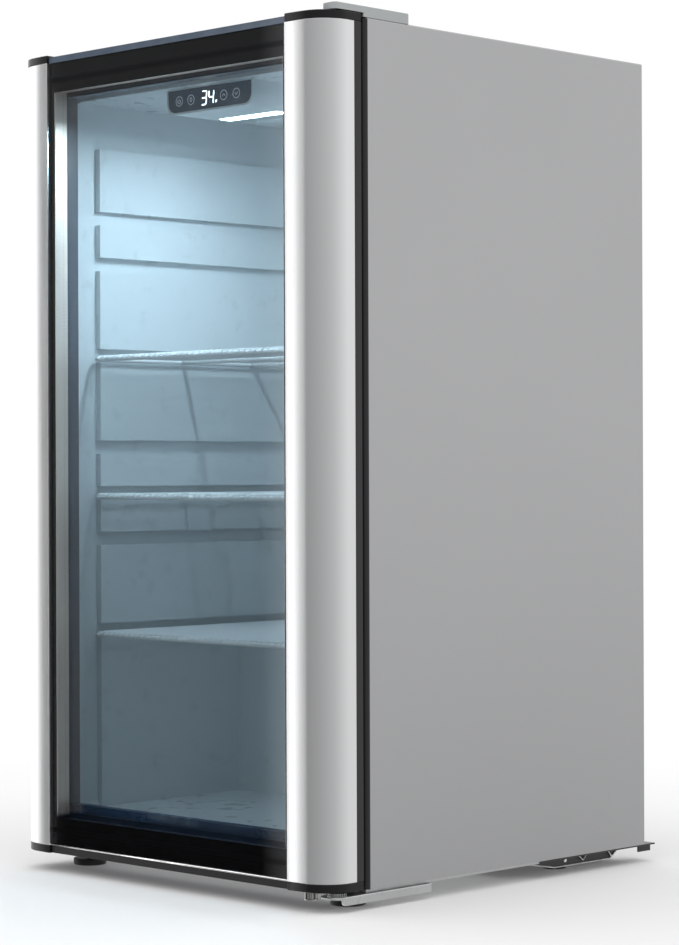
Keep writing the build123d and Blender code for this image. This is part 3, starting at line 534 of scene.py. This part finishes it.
def bullnose(wall):
    """The face and nose of a door edge: slightly crowned, then a round corner, moved inward by a wall."""
    near, far, front = profile_low.x, profile_high.x, profile_low.y
    face_radius = (NOSE_START - near) / math.sin(CROWN)
    start = math.asin(wall / (face_radius - wall))
    face = arc(near, front + face_radius, face_radius - wall, -90 + math.degrees(start),
               -90 + math.degrees(CROWN), 12)
    radius = (far - NOSE_START) / (1 - math.sin(CROWN))
    middle_y = front + face_radius * (1 - math.cos(CROWN)) + radius * math.cos(CROWN)
    nose = arc(far - radius, middle_y, radius - wall, -90 + math.degrees(CROWN), 0, 40)
    return face + nose[1:]


def profile_section(wall):
    """Outline of a door edge, with the pocket that takes the pane."""
    near, far, rear = profile_low.x + wall, profile_high.x - wall, profile_high.y - wall
    pocket, step = POCKET + wall, glass_low.y - wall
    return bullnose(wall) + [(far, rear), (pocket, rear), (pocket, step), (near, step)]


def pierced_plate(outlines, low, high):
    """Points and faces of a flat plate: the first outline is its edge, the others are holes."""
    shape = bmesh.new()
    edges = []
    for outline in outlines:
        ring = [shape.verts.new((x, y, low)) for x, y in outline]
        edges += [shape.edges.new(pair) for pair in zip(ring, ring[1:] + ring[:1])]
    bmesh.ops.triangle_fill(shape, use_beauty=True, edges=edges)
    grown = bmesh.ops.extrude_face_region(shape, geom=shape.faces[:])["geom"]
    for item in grown:
        if isinstance(item, bmesh.types.BMVert):
            item.co.z = high
    shape.verts.index_update()
    points = [tuple(v.co) for v in shape.verts]
    faces = [tuple(v.index for v in face.verts) for face in shape.faces]
    shape.free()
    return points, faces


def make_profiles():
    """The two aluminium door edges, hollow, with a fine round nose, and the caps that close them."""
    for side, word in ((1, "right"), (-1, "left")):
        outer, inner = ([(side * x, y) for x, y in profile_section(wall)] for wall in (0, PROFILE_WALL))
        points, faces = loop_strip(outer, inner, profile_low.z, profile_high.z, plan)
        edge = piece(word + "_bullnose", points, faces, finish["profile_aluminium"], "door",
                     replaces=[word + "_profile"])
        soften(edge, 0.45 * mm, 2, 40)
        for level in ("top", "bottom"):
            name = f"{level}_{word}_cap"
            cap_box_low, cap_box_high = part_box(name)
            low = profile_high.z if level == "top" else cap_box_low.z
            high = cap_box_high.z if level == "top" else profile_low.z
            rim = bullnose(0) + [(profile_high.x, cap_box_high.y), (profile_low.x, cap_box_high.y)]
            holes = [arc(HINGE_X, HINGE_Y, BUSH_RADIUS, 0, 352.5, 47)] if side == 1 else []
            points, faces = pierced_plate([[(side * x, y) for x, y in rim], *holes], low, high)
            cap = piece(f"{word}_{level}_end_cap", points, faces, cap_plastic, "door",
                        replaces=[name])
            soften(cap, 0.9 * mm, 3, 40)


def make_lower_step():
    """The dark step along the foot of the door's inner frame."""
    pane_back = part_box("inner_glass")[1].y
    gap, deep, low, high, reach, round_edge = (n * mm for n in (0.2, 11, 58.8, 67.6, 166.9, 1.2))
    section = rectangle(pane_back + gap, pane_back + deep, low, high, round_edge, 4)
    points, faces = prism(section, -reach, reach, sideways)
    piece("lower_frame_step", points, faces, navy_plastic, "door", True)


def make_edge_bead():
    """The bright bead along the lower edge of the outer pane."""
    radius, end_gap, forward, down = (n * mm for n in (0.9, 0.5, 0.35, 0.1))
    reach = profile_low.x - end_gap
    section = arc(glass_low.y - forward, glass_low.z - down, radius, 0, 337.5, 15)
    points, faces = prism(section, -reach, reach, sideways)
    piece("glass_edge_bead", points, faces, polished_edge, "door", True)


make_frit()
make_spacer()
make_profiles()
make_edge_bead()
make_lower_step()


# ------------------------------------------------------------------ shelves

def bend(before, corner, after, radius, steps=5):
    """Points of a round bend at a corner between two straight runs."""
    into = (Vector(before) - Vector(corner)).normalized()
    away = (Vector(after) - Vector(corner)).normalized()
    half = into.angle(away) / 2
    reach = radius / math.tan(half)
    start, end = Vector(corner) + into * reach, Vector(corner) + away * reach
    centre = Vector(corner) + (into + away).normalized() * (radius / math.sin(half))
    first, last = start - centre, end - centre
    turn = first.angle(last)
    points = []
    for i in range(steps + 1):
        t = i / steps
        a, b = math.sin((1 - t) * turn) / math.sin(turn), math.sin(t * turn) / math.sin(turn)
        points.append(centre + first * a + last * b)
    return points


def bent_path(corners, radius, closed=False):
    """A path through corners, each rounded."""
    count = len(corners)
    points = [] if closed else [Vector(corners[0])]
    for i in range(count if closed else count - 2):
        j = i if closed else i + 1
        points += bend(corners[j - 1], corners[j], corners[(j + 1) % count], radius)
    return points if closed else points + [Vector(corners[-1])]


# Top wires of a shelf, the radii of its rods and wires and of their bends, and where its cross rods lie.
SHELF_WIRES, ROD, THIN, CORNER, WIRE_BEND = 43, 2.5 * mm, 1.4 * mm, 7 * mm, 1.5 * mm
CROSS_RODS = (-50 * mm, 50 * mm)


def make_shelf(name):
    """A coated wire shelf: a rod frame with round corners, cross rods, and thin wires welded over them."""
    low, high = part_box(name)
    rod_z, wire_z = low.z + ROD, high.z - THIN
    x_reach = high.x - ROD
    front, rear = low.y + ROD, high.y - ROD
    corners = [(x, y, rod_z) for x, y in rectangle(-x_reach, x_reach, front, rear)]
    paths = [(bent_path(corners, CORNER, True), ROD, True)]
    for y in CROSS_RODS:
        paths.append(([Vector((-x_reach, y, rod_z)), Vector((x_reach, y, rod_z))], ROD, False))
    pitch = 2 * x_reach / (SHELF_WIRES + 1)
    for i in range(SHELF_WIRES):
        x = -x_reach + pitch * (i + 1)
        corners = [(x, rear + ROD * 0.6, wire_z), (x, front - ROD * 0.45, wire_z),
                   (x, front - ROD * 0.9, rod_z)]
        paths.append((bent_path(corners, WIRE_BEND), THIN, False))
    wires(name + "_wires", paths, finish["white_wire"], name, [name])


for shelf in ("upper_shelf", "middle_shelf", "lower_shelf"):
    make_shelf(shelf)


# ------------------------------------------------------------------ hinge details

def toothed(x, y, inner, outer, teeth):
    """Outline of a disc with square teeth round its rim."""
    outline = []
    for tooth in range(teeth):
        for part, radius in ((0.0, outer), (0.5, outer), (0.5, inner), (1.0, inner)):
            turn = 2 * math.pi * (tooth + part) / teeth
            outline.append((x + radius * math.cos(turn), y + radius * math.sin(turn)))
    return outline


def upright_barrel(name):
    """Middle and radius of an upright round CAD node, and its two ends."""
    low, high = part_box(name)
    return (low.x + high.x) / 2, (low.y + high.y) / 2, (high.x - low.x) / 2, low.z, high.z


def make_washers():
    """Two serrated washers on the lower hinge pin, the upper one a little smaller."""
    x, y, radius, foot, top = upright_barrel("hinge_washers")
    middle, half_gap, pin_radius, teeth = (foot + top) / 2, 0.1 * mm, 4 * mm, 24
    pin = arc(x, y, pin_radius, 0, 360 - 360 / (4 * teeth), 4 * teeth - 1)
    lower = toothed(x, y, radius - 0.9 * mm, radius, teeth)
    upper = toothed(x, y, radius - 1.2 * mm, radius - 0.4 * mm, teeth)
    points, faces = gather([loop_strip(lower, pin, foot, middle - half_gap, plan),
                            loop_strip(upper, pin, middle + half_gap, top, plan)])
    soften(piece("serrated_washers", points, faces, washer_steel, "cabinet",
                 replaces=["hinge_washers"]), 0.12 * mm, 1)


def make_stud():
    """The fluted stud beside the washers, with a plain collar at each end."""
    x, y, radius, foot, top = upright_barrel("door_stop_stud")
    collar, flute, inset, flutes = 1.3 * mm, 1.8 * mm, 0.2 * mm, 9
    barrel = toothed(x, y, radius - inset - flute, radius - inset, flutes)
    rim = arc(x, y, radius, 0, 352.5, 47)
    levels = [(barrel, foot + collar, top - collar), (rim, foot, foot + collar), (rim, top - collar, top)]
    points, faces = gather([prism(outline, start, end, plan) for outline, start, end in levels])
    soften(piece("fluted_stop_stud", points, faces, finish["chrome_stud"], "door",
                 replaces=["door_stop_stud"]), 0.15 * mm, 1)


DOME_TURN = math.radians(72)


def dome(x, y, z, radius, height, rings=4, steps=16):
    """Points and faces of a low domed screw head that faces the rear, with a flat crown."""
    points, faces = [], []
    for ring in range(rings + 1):
        turn = DOME_TURN * ring / rings
        size, out = radius * math.cos(turn), height * math.sin(turn) / math.sin(DOME_TURN)
        for step in range(steps):
            side = 2 * math.pi * step / steps
            points.append((x + size * math.cos(side), y + out, z + size * math.sin(side)))
    for ring in range(rings):
        for step in range(steps):
            a, b = ring * steps + step, ring * steps + (step + 1) % steps
            faces.append((a, b, b + steps, a + steps))
    faces.append(tuple(range(rings * steps, (rings + 1) * steps)))
    faces.append(tuple(range(steps - 1, -1, -1)))
    return points, faces


def make_back_screws():
    """Screws round the edge of the back panel, each with a cross recess drawn as raised dark bars.

    The bars are painted shade, standing in for the shadow inside the recess.
    """
    low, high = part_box("back_panel")
    inset, head_radius, head_height = 9 * mm, 3.8 * mm, 1.9 * mm
    cross_long, cross_thin, cross_from, cross_to = (n * mm for n in (1.9, 0.4, 1.5, 1.94))
    heads, recess_shade_bars = [], []
    places = [(side * (high.x - inset), low.z + inset + (high.z - low.z - 2 * inset) * share)
              for side in (-1, 1) for share in (0.0, 0.25, 0.5, 0.75, 1.0)]
    places += [(x, level) for x in (-70 * mm, 70 * mm) for level in (low.z + inset, high.z - inset)]
    for x, z in places:
        heads.append(dome(x, high.y, z, head_radius, head_height))
        for wide, tall in ((cross_long, cross_thin), (cross_thin, cross_long)):
            bar = rectangle(x - wide, x + wide, z - tall, z + tall)
            recess_shade_bars.append(prism(bar, high.y + cross_from, high.y + cross_to, upright))
    points, faces = gather(heads)
    piece("back_panel_screws", points, faces, finish["fastener_steel"], "cabinet", True)
    # The dark cross bars are painted shade: black enamel where each screw's recess lies in shadow.
    points, faces = gather(recess_shade_bars)
    piece("back_screw_painted_recess_shade", points, faces, finish["black_paint"], "cabinet")


def make_pan_edges():
    """Pale folded edges along the sides of the compressor pan, bare metal brightened into a painted
    highlight, with a spring clip and a rivet on each.
    """
    reach, clip_out, edge_radius, clip_radius = 192.6 * mm, 0.8 * mm, 0.75 * mm, 0.7 * mm
    # Bends of the edge and of the clip, from front to rear: y and height in millimetres.
    side_line = [(63, 16.2), (63, 12.4), (114, 3.4), (202, 3.4), (219, 14.6)]
    clip_line = [(150, 12.4), (158, 6.4), (164, 11.6), (198, 12.0), (204, 5.4)]
    paths = []
    for side in (-1, 1):
        for line, out, radius in ((side_line, 0.0, edge_radius), (clip_line, clip_out, clip_radius)):
            points = [Vector((side * (reach + out), y * mm, z * mm)) for y, z in line]
            paths.append((points, radius, False))
    # The pale edge rods carry a painted highlight; the clips are pale in their own right.
    wires("pan_side_edge_highlights", paths, pan_clip_and_edge_highlight, "cabinet")
    rivet_y, rivet_z, rivet_radius, rivet_height, pan_side = (n * mm for n in (131, 9, 2.6, 1.6, 192))
    heads = []
    for side in (-1, 1):
        points, faces = dome(rivet_y, 0, rivet_z, rivet_radius, rivet_height)
        heads.append(([(side * (pan_side + y), x, z) for x, y, z in points], faces))
    points, faces = gather(heads)
    piece("pan_rivets", points, faces, finish["fastener_steel"], "cabinet", True)


make_washers()
make_stud()
make_back_screws()
make_pan_edges()


# ------------------------------------------------------------------ control display

face_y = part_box("control_panel")[0].y
DISPLAY_Z = 769 * mm
# The marks stand a little proud of the panel's face and start just behind it.
MARK_FRONT, MARK_BACK = face_y - 0.12 * mm, face_y + 0.05 * mm
# Middles of the touch marks: power, lamp, up and down.
TOUCH_X = (-44 * mm, -26.8 * mm, 20.6 * mm, 38.5 * mm)
SEGMENTS = {"3": "abgcd", "4": "fgbc"}
# A digit leans by this much of its height, and its bars stop short of its corners by this much of a bar's
# thickness.
LEAN, BAR_GAP = 0.09, 0.22


def flat_marks(name, outlines, material, rings=()):
    """Thin marks on the face of the control panel: rings first, then plain outlines."""
    parts = [loop_strip(outer, inner, MARK_FRONT, MARK_BACK, upright) for outer, inner in rings]
    parts += [prism(outline, MARK_FRONT, MARK_BACK, upright) for outline in outlines]
    points, faces = gather(parts)
    piece(name, points, faces, material, "cabinet")


def stroke(points, width):
    """Outlines of straight strokes joining points."""
    strokes = []
    for (x0, z0), (x1, z1) in zip(points, points[1:]):
        along = Vector((x1 - x0, z1 - z0)).normalized() * width / 2
        side = Vector((-along.y, along.x))
        a, b = Vector((x0, z0)) - along, Vector((x1, z1)) + along
        strokes.append([tuple(a - side), tuple(b - side), tuple(b + side), tuple(a + side)])
    return strokes


def digit(character, x, z, width, height, thick):
    """Outlines of a seven-segment digit that leans a little to the right."""
    half = height / 2
    ends = {"a": ((0, half), (width, half)), "b": ((width, half), (width, 0)),
            "c": ((width, 0), (width, -half)), "d": ((0, -half), (width, -half)),
            "f": ((0, half), (0, 0)), "g": ((0, 0), (width, 0))}
    outlines = []
    for segment in SEGMENTS[character]:
        (x0, z0), (x1, z1) = ends[segment]
        along = Vector((x1 - x0, z1 - z0)).normalized()
        side = Vector((-along.y, along.x)) * thick / 2
        a = Vector((x0, z0)) + along * thick * BAR_GAP
        b = Vector((x1, z1)) - along * thick * BAR_GAP
        tip = along * thick / 2
        bar = [a, a + tip - side, b - tip - side, b, b - tip + side, a + tip + side]
        outlines.append([(x + p.x + LEAN * (p.y + half), z + p.y) for p in bar])
    return outlines


def sketch(x, points):
    """Points given in millimetres from a place on the display's middle line."""
    return [(x + u * mm, DISPLAY_Z + v * mm) for u, v in points]


def make_digits():
    """Two digits and a small mark beside them."""
    height, width, thick, first_x, second_x, unit_x = (n * mm for n in (13.2, 6.8, 1.35, -11.6, -1.4, 9.4))
    shapes = digit("3", first_x, DISPLAY_Z, width, height, thick)
    shapes += digit("4", second_x, DISPLAY_Z, width, height, thick)
    shapes += stroke(sketch(unit_x, [(0, -6.2), (0, -3.9), (1.6, -3.9)]), 0.55 * mm)
    shapes += stroke(sketch(unit_x, [(0, -5.0), (1.2, -5.0)]), 0.5 * mm)
    flat_marks("display_digits", shapes, digit_light)


def make_touch_marks():
    """Four ringed marks for power, lamp, up and down."""
    radius, line = 5.0 * mm, 0.55 * mm
    power_x, lamp_x, up_x, down_x = TOUCH_X
    rings = [[arc(x, DISPLAY_Z, size, 0, 350, 35) for size in (radius, radius - line)] for x in TOUCH_X]
    marks = stroke(arc(power_x, DISPLAY_Z - 0.3 * mm, 2 * mm, 130, 410, 12), 0.5 * mm)
    marks += stroke(sketch(power_x, [(0, -0.2), (0, 2.4)]), 0.5 * mm)
    marks += stroke(arc(lamp_x, DISPLAY_Z + 0.5 * mm, 1.5 * mm, -60, 240, 12), 0.5 * mm)
    marks += stroke(sketch(lamp_x, [(-0.7, -1.6), (0.7, -1.6)]), 0.6 * mm)
    marks += stroke(sketch(up_x, [(-2, -0.9), (0, 1.2), (2, -0.9)]), 0.55 * mm)
    marks += stroke(sketch(down_x, [(-2, 0.9), (0, -1.2), (2, 0.9)]), 0.55 * mm)
    flat_marks("touch_marks", marks, icon_light, rings)


make_digits()
make_touch_marks()


# ------------------------------------------------------------------ floor, light and air

# The floor's reach, and the centre and the two radii between which it turns to plain white, in metres.
FLOOR_REACH, SHADE_CENTRE, SHADE_REACH = 30, (-0.2, 0.1, 0), (0.5, 1.5)
# Near the cooler the floor is one of these two greys or between them, and glows by this much.
FLOOR_DARK, FLOOR_LIGHT, FLOOR_GLOW = (0.71, 0.71, 0.71), (0.73, 0.73, 0.73), 0.08


def make_floor():
    """A plain pale floor that turns to plain white away from the cooler."""
    mesh = bpy.data.meshes.new("floor")
    corners = [(*corner, 0) for corner in rectangle(-FLOOR_REACH, FLOOR_REACH, -FLOOR_REACH, FLOOR_REACH)]
    mesh.from_pydata(corners, [], [(0, 1, 2, 3)])
    floor = bpy.data.objects.new("floor", mesh)
    scene.collection.objects.link(floor)
    material, tree = new_material("pale_floor")
    where = tree.add("ShaderNodeTexCoord").outputs["Object"]
    distance = tree.add("ShaderNodeVectorMath", operation="DISTANCE")
    distance.inputs[1].default_value = SHADE_CENTRE
    tree.link(where, distance.inputs[0])
    share = tree.add("ShaderNodeMapRange", interpolation_type="SMOOTHSTEP")
    share.inputs["From Min"].default_value, share.inputs["From Max"].default_value = SHADE_REACH
    tree.link(distance.outputs["Value"], share.inputs["Value"])
    matt = tree.add("ShaderNodeBsdfDiffuse")
    tree.link(tree.mix(tree.noise(where, 3), FLOOR_DARK, FLOOR_LIGHT), matt.inputs["Color"])
    lit = tree.add("ShaderNodeEmission")
    lit.inputs["Strength"].default_value = FLOOR_GLOW
    near = tree.add("ShaderNodeAddShader")
    tree.link(matt.outputs["BSDF"], near.inputs[0])
    tree.link(lit.outputs["Emission"], near.inputs[1])
    bright = tree.add("ShaderNodeEmission")
    bright.inputs["Strength"].default_value = 1.0
    mix = tree.add("ShaderNodeMixShader")
    tree.link(share.outputs["Result"], mix.inputs["Fac"])
    tree.link(near.outputs["Shader"], mix.inputs[1])
    tree.link(bright.outputs["Emission"], mix.inputs[2])
    out = tree.add("ShaderNodeOutputMaterial")
    tree.link(mix.outputs["Shader"], out.inputs["Surface"])
    mesh.materials.append(material)
    floor.visible_glossy = False
    floor.visible_transmission = False


# Brightness of the studio round the horizon, by the angle from straight ahead of the door, in degrees,
# towards the cooler's left: just above the horizon and just below it. The right side is below zero.
STUDIO = [(-180, 0.90, 0.72), (-134, 0.88, 0.78), (-104, 0.74, 0.66), (-74, 0.60, 0.52), (-44, 0.52, 0.44),
          (-14, 0.46, 0.37), (15, 0.41, 0.33), (32, 0.38, 0.31), (36, 0.50, 0.44), (38.5, 1.0, 1.0),
          (41, 1.7, 1.7), (43, 3.0, 3.0), (44.6, 3.0, 3.0), (45.2, 0.16, 0.02), (51.3, 0.16, 0.02),
          (52.5, 0.46, 0.38), (55.5, 0.15, 0.12), (58.8, 0.12, 0.10), (61.2, 2.5, 2.3), (68, 1.6, 1.5),
          (72, 1.4, 1.3), (120, 1.2, 1.1), (180, 0.90, 0.72)]
STUDIO_STRENGTH = 3.0
CEILING = 1.45
# Elevations, in degrees, over which the lower ring gives way to the upper one, and that to the ceiling.
HORIZON_RISE, CEILING_RISE = (-9, 9), (20, 42)
LAMP_POWER, LAMP_COLOUR, LAMP_GAP = 0.95, (0.72, 0.90, 1.0), 0.5 * mm


def horizon_ramp(tree, share, column):
    """A ring of light from the studio's stops, one column of them."""
    ramp = tree.add("ShaderNodeValToRGB")
    stops = ramp.color_ramp.elements
    while len(stops) < len(STUDIO):
        stops.new(0.5)
    for stop, row in zip(stops, STUDIO):
        stop.position = (row[0] + 180) / 360
        bright = row[column] / STUDIO_STRENGTH
        stop.color = (bright, bright, bright, 1)
    tree.link(share, ramp.inputs["Fac"])
    return ramp.outputs["Color"]


def rise(tree, height, low, high):
    """A smooth change from 0 to 1 between two elevations in degrees."""
    change = tree.add("ShaderNodeMapRange", interpolation_type="SMOOTHSTEP")
    change.inputs["From Min"].default_value = math.sin(math.radians(low))
    change.inputs["From Max"].default_value = math.sin(math.radians(high))
    tree.link(height, change.inputs["Value"])
    return change.outputs["Result"]


def make_studio():
    """Soft light from all round, brighter from above, with plain white behind the object."""
    world = bpy.data.worlds.new("studio")
    scene.world = world
    world.use_nodes = True
    tree = Nodes(world.node_tree)
    direction = tree.add("ShaderNodeTexCoord").outputs["Generated"]
    parts = tree.add("ShaderNodeSeparateXYZ")
    tree.link(direction, parts.inputs[0])
    angle = tree.add("ShaderNodeMath", operation="ARCTAN2")
    for axis, socket in (("X", 0), ("Y", 1)):
        turned = tree.add("ShaderNodeMath", operation="MULTIPLY")
        turned.inputs[1].default_value = -1
        tree.link(parts.outputs[axis], turned.inputs[0])
        tree.link(turned.outputs[0], angle.inputs[socket])
    share = tree.add("ShaderNodeMapRange")
    share.inputs["From Min"].default_value = -math.pi
    share.inputs["From Max"].default_value = math.pi
    tree.link(angle.outputs[0], share.inputs["Value"])
    upper = horizon_ramp(tree, share.outputs["Result"], 1)
    lower = horizon_ramp(tree, share.outputs["Result"], 2)
    around = tree.mix(rise(tree, parts.outputs["Z"], *HORIZON_RISE), lower, upper)
    top = CEILING / STUDIO_STRENGTH
    around = tree.mix(rise(tree, parts.outputs["Z"], *CEILING_RISE), around, (top, top, top))
    studio = tree.add("ShaderNodeBackground")
    studio.inputs["Strength"].default_value = STUDIO_STRENGTH
    tree.link(around, studio.inputs["Color"])
    plain = tree.add("ShaderNodeBackground")
    plain.inputs["Color"].default_value = (1, 1, 1, 1)
    path = tree.add("ShaderNodeLightPath")
    mix = tree.add("ShaderNodeMixShader")
    tree.link(path.outputs["Is Camera Ray"], mix.inputs["Fac"])
    tree.link(studio.outputs["Background"], mix.inputs[1])
    tree.link(plain.outputs["Background"], mix.inputs[2])
    out = tree.add("ShaderNodeOutputWorld")
    tree.link(mix.outputs["Shader"], out.inputs["Surface"])


def make_lamp():
    """The cool white light that leaves the lens under the control box."""
    low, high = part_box("led_lens")
    data = bpy.data.lights.new("cabin_lamp", "AREA")
    data.shape = "RECTANGLE"
    data.size = high.x - low.x
    data.size_y = high.y - low.y
    data.energy = LAMP_POWER
    data.color = LAMP_COLOUR
    lamp = bpy.data.objects.new("cabin_lamp", data)
    lamp.location = ((low.x + high.x) / 2, (low.y + high.y) / 2, low.z - LAMP_GAP)
    lamp.visible_camera = False
    scene.collection.objects.link(lamp)


make_floor()
make_studio()
make_lamp()
